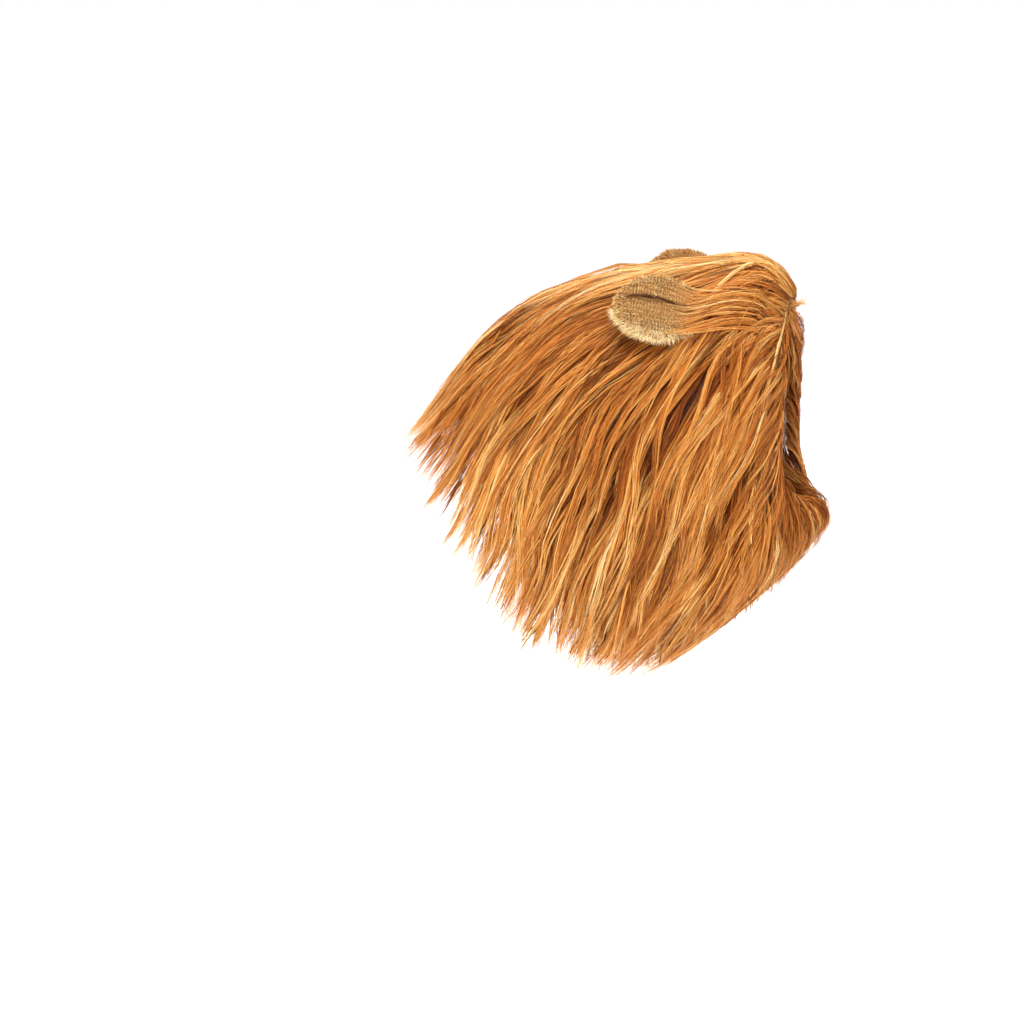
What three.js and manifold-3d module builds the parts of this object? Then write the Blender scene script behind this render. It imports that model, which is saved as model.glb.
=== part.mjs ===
// A lion mane wig for a large pet: a stretch-cloth hood with long faux fur and two plush ears.
// Millimetres, +Z up, -Y towards the open face, +X to the wearer's left.
// The origin is the inside of the hood's crown, where it sits on the head.
import * as THREE from 'three';
import { mergeVertices } from 'three/addons/utils/BufferGeometryUtils.js';
import Module from 'manifold-3d';

const wasm = await Module();
wasm.setup();

// Hood
const faceHeight = 208;
const faceWidth = 150;
const neckHeight = 226;
const neckWidth = 192;
const hoodReach = 162;
const hoodDrop = 81;
const hoodWall = 2.2;
const hemThickness = 6;
const hemWidth = 10;
const hemFullShare = 0.7;

// Fur
const furLength = 160;
const furGap = 0.7;
const furEdge = 14;
const furCoatShare = 0.95;
const coatHoodShare = 0.62;
const faceClear = 1;
const neckClear = 20;
const lockWidth = 42;
const lockHeight = 14;
const lockPoint = 0.8;
const lockWave = 6;

// Ears
const earLength = 80;
const earWidth = 70;
const earThickness = 11;
const earCup = 13;
const earFaceThickness = 3.2;
const earFaceProud = 0.7;
const earSpot = { angle: 44, along: 0.38 };
const earLift = 7;
const earReach = new THREE.Vector3(0.05, 0.97, 0.1).normalize();
const earUpright = new THREE.Vector3(-0.35, 0, 0.93).normalize();
const earSeatGap = 0.6;
const earFurGap = 1.8;

// Grid steps
const aroundSteps = 32;
const hoodSteps = 8;
const coatSteps = 8;
const lockSteps = 4;
const earSteps = 9;
const earRound = 12;

// Hood sections from the face to the neck: centre back and up from the crown row, as shares of hoodReach and
// hoodDrop, lean of the section in degrees, and swell of its height over an even taper
const hoodRows = [
  { back: -0.26, up: 0.0, lean: 0.0, swell: 1.0 },
  { back: 0.0, up: 0.0, lean: 3.5, swell: 1.088 },
  { back: 0.296, up: -0.148, lean: 10.0, swell: 1.122 },
  { back: 0.553, up: -0.395, lean: 18.0, swell: 1.104 },
  { back: 0.784, up: -0.691, lean: 24.0, swell: 1.053 },
  { back: 1.0, up: -1.0, lean: 30.0, swell: 1.0 },
];
const crownRow = 1;

// Outer form of the fur, in even steps of angle round the face from 0 on top to 180 under the chin. Each
// column is how far the fur stands off the hood there, out, back and up, as shares of furLength
const furRows = [
  {
    lip: [0, -0.11, 0.16], crest: [0, -0.11, 0.37],
    flank: [0, 0.52, 0.28], tip: [0, 1.05, -0.45],
  },
  {
    lip: [0.12, -0.06, 0.12], crest: [0.2, -0.09, 0.24],
    flank: [0.38, 0.3, 0.05], tip: [0.45, 0.77, -0.75],
  },
  {
    lip: [0.16, -0.01, -0.02], crest: [0.39, -0.06, 0.04],
    flank: [0.55, -0.01, -0.38], tip: [0.43, 0.38, -1.06],
  },
  {
    lip: [0.18, -0.06, -0.1], crest: [0.39, -0.38, -0.39],
    flank: [0.48, -0.4, -0.6], tip: [0.33, -0.02, -0.94],
  },
  {
    lip: [0, -0.27, -0.08], crest: [0, -0.56, -0.2],
    flank: [0, -0.56, -0.36], tip: [0, -0.36, -0.64],
  },
];
// Where along the hood, from face to neck, each column of furRows stands
const furStations = [
  { column: 'lip', along: 0 },
  { column: 'crest', along: 0.25 },
  { column: 'flank', along: 0.75 },
  { column: 'tip', along: 1 },
];

// Rows of locks: how many on each side, where they start and end along the fur, and their width as a share of
// lockWidth
const lockRows = [
  { count: 7, start: 0.12, end: 0.52, wide: 0.9 },
  { count: 8, start: 0.3, end: 0.74, wide: 1.1 },
  { count: 10, start: 0.48, end: 0.9, wide: 1.1 },
  { count: 16, start: 0.66, end: 1.0, wide: 1.3 },
];
// How deep the coat and the foot of a lock lie under the outer form, as shares of lockHeight
const coatDepth = 0.7;
const lockDepth = 1.15;
// How a lock swings along its length, in radians, and how far its neighbours differ in phase and reach
const lockSwing = { length: 4.2, perLock: 2.4, perRow: 1.7 };
const lockReach = { flow: 0.025, perLock: 3.1, perRow: 2.2 };

// Ear sections from the hood to the far end: place along the centre line, width of the back and of the face
// as shares of earWidth, and thickness and cup as shares of earThickness and earCup
const earRows = [
  { along: 0.0, back: 0.26, face: 0.06, thick: 0.9, cup: 0.0 },
  { along: 0.24, back: 0.42, face: 0.14, thick: 1.0, cup: 0.3 },
  { along: 0.42, back: 0.84, face: 0.34, thick: 1.0, cup: 0.8 },
  { along: 0.52, back: 0.96, face: 0.68, thick: 1.0, cup: 0.95 },
  { along: 0.64, back: 1.0, face: 0.8, thick: 1.0, cup: 1.0 },
  { along: 0.82, back: 0.86, face: 0.66, thick: 0.95, cup: 0.9 },
  { along: 0.94, back: 0.55, face: 0.3, thick: 0.8, cup: 0.6 },
  { along: 1.0, back: 0.2, face: 0.06, thick: 0.4, cup: 0.2 },
];
const earFaceFrom = 0.4;
const earFaceTo = 0.94;

const colours = {
  hood: new THREE.MeshStandardMaterial({ color: 0x8a4f22, roughness: 0.9, metalness: 0 }),
  fur: new THREE.MeshStandardMaterial({ color: 0xc87832, roughness: 0.75, metalness: 0 }),
  earBack: new THREE.MeshStandardMaterial({ color: 0xd8b77a, roughness: 0.9, metalness: 0 }),
  earFace: new THREE.MeshStandardMaterial({ color: 0xc3964f, roughness: 0.95, metalness: 0 }),
};

const radians = THREE.MathUtils.degToRad;

// Smooth curve through numbers in a row, t from 0 to 1 over the row
function smooth(values, t) {
  const last = values.length - 1;
  const place = THREE.MathUtils.clamp(t, 0, 1) * last;
  const i = Math.min(Math.floor(place), last - 1);
  const f = place - i;
  const [b, c] = [values[i], values[i + 1]];
  const a = i > 0 ? values[i - 1] : 2 * b - c;
  const d = i + 2 <= last ? values[i + 2] : 2 * c - b;
  return b + 0.5 * f * (c - a + f * (2 * a - 5 * b + 4 * c - d + f * (3 * (b - c) + d - a)));
}

// Closed solid from rings of equal length, capped at both ends
function loftSolid(rings) {
  const n = rings[0].length;
  const positions = rings.flat().flatMap((p) => [p.x, p.y, p.z]);
  const index = [];
  for (let r = 0; r + 1 < rings.length; r++) {
    for (let i = 0; i < n; i++) {
      const j = (i + 1) % n;
      const [a, b, c, d] = [r * n + i, r * n + j, (r + 1) * n + j, (r + 1) * n + i];
      index.push(a, b, c, a, c, d);
    }
  }
  const centres = [rings[0], rings[rings.length - 1]].map(
    (ring) => ring.reduce((sum, p) => sum.add(p), new THREE.Vector3()).divideScalar(n));
  centres.forEach((p) => positions.push(p.x, p.y, p.z));
  const [head, tail, lastRing] = [rings.length * n, rings.length * n + 1, (rings.length - 1) * n];
  for (let i = 0; i < n; i++) {
    const j = (i + 1) % n;
    index.push(head, j, i);
    index.push(tail, lastRing + i, lastRing + j);
  }
  return solidOf(positions, index);
}

// Closed ring-shaped solid: the profiles go once round, and each profile is itself a closed loop
function ringSolid(profiles) {
  const n = profiles[0].length;
  const count = profiles.length;
  const positions = profiles.flat().flatMap((p) => [p.x, p.y, p.z]);
  const index = [];
  for (let r = 0; r < count; r++) {
    const next = (r + 1) % count;
    for (let i = 0; i < n; i++) {
      const j = (i + 1) % n;
      const [a, b, c, d] = [r * n + i, r * n + j, next * n + j, next * n + i];
      index.push(a, b, c, a, c, d);
    }
  }
  return solidOf(positions, index);
}

function solidOf(positions, index) {
  const geometry = new THREE.BufferGeometry();
  geometry.setAttribute('position', new THREE.Float32BufferAttribute(positions, 3));
  geometry.setIndex(index);
  const merged = mergeVertices(geometry, 1e-4);
  const mesh = new wasm.Mesh({
    numProp: 3,
    vertProperties: new Float32Array(merged.getAttribute('position').array),
    triVerts: new Uint32Array(merged.getIndex().array),
  });
  const solid = new wasm.Manifold(mesh);
  if (solid.volume() >= 0) return solid;
  const turned = [];
  for (let i = 0; i < index.length; i += 3) turned.push(index[i], index[i + 2], index[i + 1]);
  return solidOf(positions, turned);
}

function meshOf(name, solid, material) {
  const data = solid.getMesh();
  const geometry = new THREE.BufferGeometry();
  geometry.setAttribute('position', new THREE.BufferAttribute(Float32Array.from(data.vertProperties), 3));
  geometry.setIndex(new THREE.BufferAttribute(Uint32Array.from(data.triVerts), 1));
  geometry.computeVertexNormals();
  const mesh = new THREE.Mesh(geometry, material);
  mesh.name = name;
  return mesh;
}

function mirrorX(solid) {
  return solid.mirror([1, 0, 0]);
}

// Hood

// Point of the hood's inside surface grown by a thickness. Angle 0 is on top, 90 on the wearer's left
function hoodPoint(angle, along, grown) {
  const column = (name) => smooth(hoodRows.map((row) => row[name]), along);
  const height = THREE.MathUtils.lerp(faceHeight, neckHeight, along) / 2;
  const crown = hoodRows[crownRow];
  const crownAlong = crownRow / (hoodRows.length - 1);
  const crownHeight = THREE.MathUtils.lerp(faceHeight, neckHeight, crownAlong) / 2 * crown.swell;
  const crownCentre = new THREE.Vector3(
    0, -Math.sin(radians(crown.lean)) * crownHeight, -Math.cos(radians(crown.lean)) * crownHeight);
  const lean = radians(column('lean'));
  const tall = height * column('swell') + grown;
  const wide = THREE.MathUtils.lerp(faceWidth, neckWidth, along) / 2 + grown;
  const rise = Math.cos(radians(angle)) * tall;
  return new THREE.Vector3(
    Math.sin(radians(angle)) * wide,
    crownCentre.y + column('back') * hoodReach + Math.sin(lean) * rise,
    crownCentre.z + column('up') * hoodDrop + Math.cos(lean) * rise);
}

// Direction of the hood's length at its face or neck end
function hoodEndDirection(along) {
  const step = 0.02;
  const inner = Math.abs(along - step);
  const centre = (place) => hoodPoint(0, place, 0).add(hoodPoint(180, place, 0)).divideScalar(2);
  return centre(along).sub(centre(inner)).normalize();
}

// Thickness of the hood, which grows into a turned hem at both ends
function hoodThickness(along) {
  const fromEnd = Math.min(along, 1 - along) * (hoodReach + hoodDrop);
  const thinned = THREE.MathUtils.smoothstep(fromEnd, hemWidth * hemFullShare, hemWidth);
  return THREE.MathUtils.lerp(hemThickness, hoodWall, thinned);
}

// Places along the hood where it has a ring, closer together at the hems
function hoodPlaces() {
  const hemShare = hemWidth / (hoodReach + hoodDrop);
  const places = [0, hemShare * hemFullShare, hemShare];
  for (let i = 1; i < hoodSteps; i++) {
    places.push(THREE.MathUtils.lerp(hemShare, 1 - hemShare, i / hoodSteps));
  }
  places.push(1 - hemShare, 1 - hemShare * hemFullShare, 1);
  return places;
}

function makeHood() {
  const profiles = [];
  const places = hoodPlaces();
  for (let i = 0; i < aroundSteps; i++) {
    const angle = 360 * i / aroundSteps;
    const inner = places.map((along) => hoodPoint(angle, along, 0));
    const outer = places.map((along) => hoodPoint(angle, along, hoodThickness(along)));
    profiles.push([...inner, ...outer.reverse()]);
  }
  return ringSolid(profiles);
}

// The hood without its hollow, grown by a gap and run past both openings
function makeHoodSpace(gap) {
  const rings = [];
  const ring = (along, grown, shift) => {
    const points = [];
    for (let i = 0; i < aroundSteps; i++) {
      points.push(hoodPoint(360 * i / aroundSteps, along, grown).add(shift));
    }
    return points;
  };
  const none = new THREE.Vector3();
  rings.push(ring(0, hemThickness + gap, hoodEndDirection(0).multiplyScalar(faceClear)));
  for (const along of hoodPlaces()) rings.push(ring(along, hoodThickness(along) + gap, none));
  rings.push(ring(1, hemThickness + gap, hoodEndDirection(1).multiplyScalar(neckClear)));
  return loftSolid(rings);
}

// Fur

// How far the fur stands off the hood at one of the stations, for any angle round the face
function furOffset(angle, station) {
  const turn = Math.abs(((angle % 360) + 540) % 360 - 180);
  const side = ((angle % 360) + 360) % 360 > 180 ? -1 : 1;
  const mirrored = (axis, sign) => {
    const half = furRows.map((row) => row[station][axis]);
    const round = [sign * half[1], ...half, sign * half[half.length - 2]];
    const place = (turn / 180 * (half.length - 1) + 1) / (round.length - 1);
    return smooth(round, place) * furLength;
  };
  return new THREE.Vector3(side * mirrored(0, -1), mirrored(1, 1), mirrored(2, 1));
}

// Point on the outer form of the fur, flow from 0 at the face hem to 1 at the tips, and straight on past 1
function furPoint(angle, flow) {
  const stops = [hoodPoint(angle, 0, hemThickness + furGap)];
  for (const { column, along } of furStations) {
    stops.push(hoodPoint(angle, along, hoodWall).add(furOffset(angle, column)));
  }
  const at = (t) => new THREE.Vector3(...['x', 'y', 'z'].map((axis) => smooth(stops.map((p) => p[axis]), t)));
  if (flow <= 1) return at(flow);
  const step = 0.04;
  const last = at(1);
  return last.clone().add(last.sub(at(1 - step)).multiplyScalar((flow - 1) / step));
}

// Flow that belongs to a place along the hood
function flowOver(along) {
  const next = Math.max(furStations.findIndex((station) => station.along >= along), 1);
  const [a, b] = [furStations[next - 1], furStations[next]];
  return (next + (along - a.along) / (b.along - a.along)) / furStations.length;
}

// Directions on the fur's surface: along the flow, across it and out of it
function furFrame(angle, flow) {
  const [turn, step] = [3, 0.02];
  const along = furPoint(angle, flow + step).sub(furPoint(angle, flow - step)).normalize();
  const across = furPoint(angle + turn, flow).sub(furPoint(angle - turn, flow));
  const out = new THREE.Vector3().crossVectors(across, along).normalize();
  const side = new THREE.Vector3().crossVectors(along, out).normalize();
  return { along, side, out };
}

// Outer side of the coat, under the locks
function coatOutside(angle, flow) {
  const { out } = furFrame(angle, flow);
  const lipFlow = 1 / furStations.length;
  const sink = THREE.MathUtils.smoothstep(flow, 0, lipFlow) * lockHeight * coatDepth;
  return furPoint(angle, flow).addScaledVector(out, -sink);
}

// Inner side of the coat: inside the hood as far as the neck, then a skirt that runs out to the tips
function coatInside(angle, flow) {
  const inward = -2 * hemThickness;
  if (flow <= coatHoodShare) return hoodPoint(angle, flow / coatHoodShare, inward);
  const share = (flow - coatHoodShare) / (furCoatShare - coatHoodShare);
  const hem = hoodPoint(angle, 1, inward);
  const { out } = furFrame(angle, furCoatShare);
  const edge = coatOutside(angle, furCoatShare).addScaledVector(out, -furEdge);
  return hem.lerp(edge, share);
}

function makeCoat() {
  const profiles = [];
  for (let i = 0; i < aroundSteps; i++) {
    const angle = 360 * i / aroundSteps;
    const outer = [];
    const inner = [];
    for (let k = 0; k <= coatSteps; k++) {
      const flow = furCoatShare * k / coatSteps;
      outer.push(coatOutside(angle, flow));
      inner.push(coatInside(angle, flow));
    }
    profiles.push([...inner, ...outer.reverse()]);
  }
  return ringSolid(profiles);
}

// Fullness of a lock along its length: it swells from its start and runs out to a point
function lockFullness(share) {
  return Math.sin(Math.PI * Math.min(0.2 + 0.7 * share, 0.5)) * Math.sqrt(1 - share ** 2.6);
}

// One lock: a tapering strip with a ridge, sunk in the coat at its start and free at its point
function makeLock(angle, start, end, wide, phase) {
  const rings = [];
  for (let k = 0; k <= lockSteps; k++) {
    const share = k / lockSteps;
    const flow = THREE.MathUtils.lerp(start, end, share);
    const { side, out } = furFrame(angle, flow);
    const fullness = lockFullness(share);
    const halfWidth = Math.max(wide / 2 * fullness, lockPoint);
    const ridge = Math.max(lockHeight * fullness, lockPoint);
    const swing = lockWave * Math.sin(phase + share * lockSwing.length);
    const centre = furPoint(angle, flow).addScaledVector(side, swing);
    centre.addScaledVector(out, -lockDepth * lockHeight);
    const point = (across, up) => centre.clone().addScaledVector(side, across).addScaledVector(out, up);
    rings.push([point(-halfWidth, 0), point(halfWidth, 0), point(0, ridge)]);
  }
  return loftSolid(rings);
}

function makeLocks() {
  const locks = [];
  lockRows.forEach((row, r) => {
    for (let i = 0; i < row.count; i++) {
      const angle = 180 * (i + 0.5) / row.count;
      const phase = lockSwing.perLock * i + lockSwing.perRow * r;
      const reach = lockReach.flow * Math.sin(lockReach.perLock * i + lockReach.perRow * r);
      locks.push(makeLock(angle, row.start, row.end + reach, lockWidth * row.wide, phase));
    }
  });
  return locks;
}

// Ears

// Centre line of the left ear: up through the fur from the hood, then back along the surface
function earLine() {
  const { angle, along } = earSpot;
  const foot = hoodPoint(angle, along, 0);
  const flow = flowOver(along);
  const { out } = furFrame(angle, flow);
  const base = furPoint(angle, flow).addScaledVector(out, -earLift);
  const middle = base.clone().addScaledVector(earReach, earLength / 2).addScaledVector(out, earLift);
  const end = base.clone().addScaledVector(earReach, earLength).addScaledVector(out, earLift);
  return new THREE.CatmullRomCurve3([foot, base, middle, end], false, 'centripetal');
}

// A column of earRows at a place along the ear
function earColumn(name, along) {
  const i = Math.max(earRows.findIndex((row) => row.along >= along), 1);
  const [a, b] = [earRows[i - 1], earRows[i]];
  return THREE.MathUtils.lerp(a[name], b[name], (along - a.along) / (b.along - a.along));
}

// Height of a layer's middle over the flat of the ear, x across it. The back is dished, and the face follows
// the front of the back and stands a little proud of it
function earHeight(layer, along, x) {
  const share = Math.min(Math.abs(x) / (earColumn('back', along) * earWidth / 2), 1);
  const dish = earColumn('cup', along) * earCup * share ** 2;
  if (layer.column === 'back') return dish;
  const front = earColumn('thick', along) * earThickness / 2 * Math.sqrt(1 - share ** 2);
  return dish + front - layer.thickness / 2 + earFaceProud;
}

// One layer of the ear along its centre line, grown all round by a gap, and by twice that at its edge and
// its ends
function earLeaf(line, layer, grown) {
  const rings = [];
  for (let k = 0; k <= earSteps; k++) {
    const along = THREE.MathUtils.lerp(layer.from, layer.to, k / earSteps);
    const tangent = line.getTangentAt(along);
    const across = earUpright.clone().addScaledVector(tangent, -earUpright.dot(tangent)).normalize();
    const normal = new THREE.Vector3().crossVectors(tangent, across).normalize();
    const halfWidth = earColumn(layer.column, along) * earWidth / 2 + 2 * grown;
    const halfThick = earColumn('thick', along) * layer.thickness / 2 + grown;
    const end = (k === earSteps) - (k === 0);
    const centre = line.getPointAt(along).addScaledVector(tangent, 2 * end * grown);
    const ring = [];
    for (let i = 0; i < earRound; i++) {
      const turn = 2 * Math.PI * i / earRound;
      const x = Math.cos(turn) * halfWidth;
      const lift = Math.sin(turn) * halfThick + earHeight(layer, along, x);
      ring.push(centre.clone().addScaledVector(across, x).addScaledVector(normal, lift));
    }
    rings.push(ring);
  }
  return loftSolid(rings);
}

function makeEar() {
  const line = earLine();
  const face = { column: 'face', from: earFaceFrom, to: earFaceTo, thickness: earFaceThickness };
  const back = { column: 'back', from: 0, to: 1, thickness: earThickness };
  const seat = earLeaf(line, face, earSeatGap);
  return {
    back: earLeaf(line, back, 0).subtract(seat).subtract(makeHoodSpace(earSeatGap)),
    face: earLeaf(line, face, 0),
    space: earLeaf(line, back, earFurGap),
  };
}

// The coat with its locks, cut clear of the hood and both ears. Pockets of air that the locks close in are
// filled
function makeFur(earSpace) {
  const leftLocks = makeLocks();
  const whole = wasm.Manifold.union([makeCoat(), ...leftLocks, ...leftLocks.map(mirrorX)]);
  const cut = whole.subtract(makeHoodSpace(furGap)).subtract(earSpace).subtract(mirrorX(earSpace));
  return wasm.Manifold.union(cut.decompose().filter((shell) => shell.volume() > 0));
}

const ear = makeEar();
const mane = new THREE.Group();
mane.add(meshOf('hood_backing', makeHood(), colours.hood));
mane.add(meshOf('mane_fur', makeFur(ear.space), colours.fur));
mane.add(meshOf('ear_left_back', ear.back, colours.earBack));
mane.add(meshOf('ear_left_face', ear.face, colours.earFace));
mane.add(meshOf('ear_right_back', mirrorX(ear.back), colours.earBack));
mane.add(meshOf('ear_right_face', mirrorX(ear.face), colours.earFace));

export default mane;
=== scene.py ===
"""Looks of a lion mane wig for a large pet: a stretch-cloth hood with long faux fur and two plush ears.

Metres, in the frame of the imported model: +Z up, -Y towards the open face, origin inside the hood's crown.
"""
import math

import bpy
import numpy as np
from mathutils import Matrix, Vector


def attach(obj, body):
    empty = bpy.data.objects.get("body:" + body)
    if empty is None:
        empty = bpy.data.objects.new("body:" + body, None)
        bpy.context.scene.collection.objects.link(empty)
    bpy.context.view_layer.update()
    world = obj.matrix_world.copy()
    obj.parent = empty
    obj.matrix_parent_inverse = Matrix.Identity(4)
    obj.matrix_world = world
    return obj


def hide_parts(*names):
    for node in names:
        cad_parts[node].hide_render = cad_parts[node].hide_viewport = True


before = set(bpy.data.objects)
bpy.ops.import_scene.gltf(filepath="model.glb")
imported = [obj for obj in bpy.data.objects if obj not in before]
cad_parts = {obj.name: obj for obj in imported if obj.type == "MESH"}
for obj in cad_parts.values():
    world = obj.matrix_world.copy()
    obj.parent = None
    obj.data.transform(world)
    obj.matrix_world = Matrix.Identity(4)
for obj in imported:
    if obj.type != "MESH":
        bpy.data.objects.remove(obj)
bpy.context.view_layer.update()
MM = 0.001
rng = np.random.default_rng(7)
draw = rng.uniform

# Hood and fur, as in the part's source
FACE_HEIGHT, FACE_WIDTH = 208 * MM, 150 * MM
NECK_HEIGHT, NECK_WIDTH = 226 * MM, 192 * MM
HOOD_REACH, HOOD_DROP = 162 * MM, 81 * MM
HOOD_WALL, HEM_THICKNESS, HEM_WIDTH = 2.2 * MM, 6 * MM, 10 * MM
FUR_LENGTH, FUR_GAP, FUR_EDGE = 160 * MM, 0.7 * MM, 14 * MM
COAT_SHARE, COAT_HOOD_SHARE = 0.95, 0.62
# Columns: back, up, lean in degrees, swell
HOOD_ROWS = np.array([
    (-0.26, 0.0, 0.0, 1.0),
    (0.0, 0.0, 3.5, 1.088),
    (0.296, -0.148, 10.0, 1.122),
    (0.553, -0.395, 18.0, 1.104),
    (0.784, -0.691, 24.0, 1.053),
    (1.0, -1.0, 30.0, 1.0),
])
CROWN_ROW = 1
# Rows go from the top of the face to the chin. Columns: lip, crest, flank, tip, each out, back and up
FUR_ROWS = np.array([
    [(0, -0.11, 0.16), (0, -0.11, 0.37), (0, 0.52, 0.28), (0, 1.05, -0.45)],
    [(0.12, -0.06, 0.12), (0.2, -0.09, 0.24), (0.38, 0.3, 0.05), (0.45, 0.77, -0.75)],
    [(0.16, -0.01, -0.02), (0.39, -0.06, 0.04), (0.55, -0.01, -0.38), (0.43, 0.38, -1.06)],
    [(0.18, -0.06, -0.1), (0.39, -0.38, -0.39), (0.48, -0.4, -0.6), (0.33, -0.02, -0.94)],
    [(0, -0.27, -0.08), (0, -0.56, -0.2), (0, -0.56, -0.36), (0, -0.36, -0.64)],
])
STATIONS = (0, 0.25, 0.75, 1)

# Ears, as in the part's source
EAR_LENGTH, EAR_WIDTH, EAR_THICKNESS = 80 * MM, 70 * MM, 11 * MM
EAR_CUP, EAR_LIFT, EAR_FACE_PROUD = 13 * MM, 7 * MM, 0.7 * MM
EAR_SPOT = (44, 0.38)
EAR_REACH = np.array((0.05, 0.97, 0.1))
EAR_UPRIGHT = np.array((-0.35, 0, 0.93))
# Columns: along, back, face, thick, cup
EAR_ROWS = np.array([
    (0.0, 0.26, 0.06, 0.9, 0.0),
    (0.24, 0.42, 0.14, 1.0, 0.3),
    (0.42, 0.84, 0.34, 1.0, 0.8),
    (0.52, 0.96, 0.68, 1.0, 0.95),
    (0.64, 1.0, 0.8, 1.0, 1.0),
    (0.82, 0.86, 0.66, 0.95, 0.9),
    (0.94, 0.55, 0.3, 0.8, 0.6),
    (1.0, 0.2, 0.06, 0.4, 0.2),
])
BACK, FACE, THICK, CUP = 1, 2, 3, 4
EAR_FACE_FROM, EAR_FACE_TO = 0.4, 0.94

# The left ear stands a little higher than in the part's source, and the fur between the ears lies lower
LEFT_EAR_RISE = np.array((0, 0, 7)) * MM
CROWN_DIP, DIP_WIDTH, DIP_FROM, DIP_TO = 5 * MM, 34 * MM, 20 * MM, 130 * MM
FRONT_DIP, FRONT_DIP_WIDTH = 9 * MM, 60 * MM

# Camera: azimuth and elevation of the photograph, a crown seat at its own place in the frame
CAMERA_AZIMUTH, CAMERA_ELEVATION, CAMERA_DISTANCE = math.radians(-78), math.radians(12), 3.0
FRAME_PIXELS, PIXEL, CROWN_PIXEL, SENSOR = 1024, 1.12 * MM, (735, 300), 36

DOWN = np.array((0.0, 0.0, -1.0))
MIRROR = np.array((-1, 1, 1))


def size_of(v):
    return np.linalg.norm(v, axis=-1)


def unit(v):
    return v / np.maximum(size_of(v)[..., None], 1e-12)


def dot(a, b):
    return (a * b).sum(-1)


def lerp(a, b, t):
    return a + (b - a) * t


def ease(x, low, high):
    t = np.clip((x - low) / (high - low), 0, 1)
    return t * t * (3 - 2 * t)


def window(x, a, b, c, d):
    """1 between b and c, easing to 0 at a and d."""
    return ease(x, a, b) * (1 - ease(x, c, d))


def bell(x, width, power=2):
    return np.exp(-(x / width) ** power)


def shares(count):
    return np.linspace(0, 1, count)


def vary(size, shape):
    return rng.normal(0, size, shape)


def add_object(name, data):
    item = bpy.data.objects.new(name, data)
    bpy.context.scene.collection.objects.link(item)
    return item


def make_camera():
    az, el = CAMERA_AZIMUTH, CAMERA_ELEVATION
    back = Vector((math.sin(az) * math.cos(el), -math.cos(az) * math.cos(el), math.sin(el)))
    right = Vector((math.cos(az), math.sin(az), 0))
    up = back.cross(right)
    middle = FRAME_PIXELS / 2
    data = bpy.data.cameras.new("camera")
    data.sensor_width = SENSOR
    data.lens = SENSOR * CAMERA_DISTANCE / (FRAME_PIXELS * PIXEL)
    data.clip_end = 50
    camera = add_object("camera", data)
    place = back * CAMERA_DISTANCE
    place -= right * (CROWN_PIXEL[0] - middle) * PIXEL
    place -= up * (middle - CROWN_PIXEL[1]) * PIXEL
    camera.matrix_world = Matrix.Translation(place) @ Matrix((right, up, back)).transposed().to_4x4()
    bpy.context.scene.camera = camera


# Form of the hood and of the fur


def smooth(rows, t):
    """Curve through rows, t from 0 to 1 over them, as in the part's source."""
    rows = np.asarray(rows, float)
    last = len(rows) - 1
    place = np.clip(t, 0, 1) * last
    i = np.minimum(place.astype(int), last - 1)
    f = (place - i).reshape(i.shape + (1,) * (rows.ndim - 1))
    ends = np.concatenate([[2 * rows[0] - rows[1]], rows, [2 * rows[-1] - rows[-2]]])
    a, b, c, d = (ends[i + k] for k in range(4))
    return b + 0.5 * f * (c - a + f * (2 * a - 5 * b + 4 * c - d + f * (3 * (b - c) + d - a)))


def hood_point(angle, along, grown):
    """Points of the hood's inside surface grown by a thickness, angle in degrees from the top."""
    angle, along = np.broadcast_arrays(np.radians(angle), np.asarray(along, float))
    back, up, lean, swell = np.moveaxis(smooth(HOOD_ROWS, along), -1, 0)
    lean = np.radians(lean)
    crown = HOOD_ROWS[CROWN_ROW]
    crown_height = lerp(FACE_HEIGHT, NECK_HEIGHT, CROWN_ROW / (len(HOOD_ROWS) - 1)) / 2 * crown[3]
    crown_lean = math.radians(crown[2])
    tall = lerp(FACE_HEIGHT, NECK_HEIGHT, along) / 2 * swell + grown
    wide = lerp(FACE_WIDTH, NECK_WIDTH, along) / 2 + grown
    rise = np.cos(angle) * tall
    return np.stack([
        np.sin(angle) * wide,
        -math.sin(crown_lean) * crown_height + back * HOOD_REACH + np.sin(lean) * rise,
        -math.cos(crown_lean) * crown_height + up * HOOD_DROP + np.cos(lean) * rise,
    ], -1)


def hood_thickness(along):
    from_end = np.minimum(along, 1 - along) * (HOOD_REACH + HOOD_DROP)
    return lerp(HEM_THICKNESS, HOOD_WALL, ease(from_end, HEM_WIDTH * 0.7, HEM_WIDTH))


def fur_offset(angle, station):
    turn = np.abs(np.mod(angle + 180, 360) - 180)
    side = np.where(np.mod(angle, 360) > 180, -1, 1)
    half = FUR_ROWS[:, station]
    rows = np.concatenate([[half[1] * MIRROR], half, [half[-2] * MIRROR]])
    offset = smooth(rows, (turn / 180 * (len(half) - 1) + 1) / (len(rows) - 1)) * FUR_LENGTH
    offset[..., 0] *= side
    return offset


AROUND, ALONG = 144, 80
GRID_ANGLE = np.linspace(0, 360, AROUND + 1)
GRID_FLOW = shares(ALONG + 1)
# Columns of the grid: places, slopes by angle and by flow, normals, the fur's depth, places on its inner side
POINT, ROUND, OVER, NORMAL, DEPTH, INNER = (slice(0, 3), slice(3, 6), slice(6, 9), slice(9, 12), 12,
                                            slice(13, 16))


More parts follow.
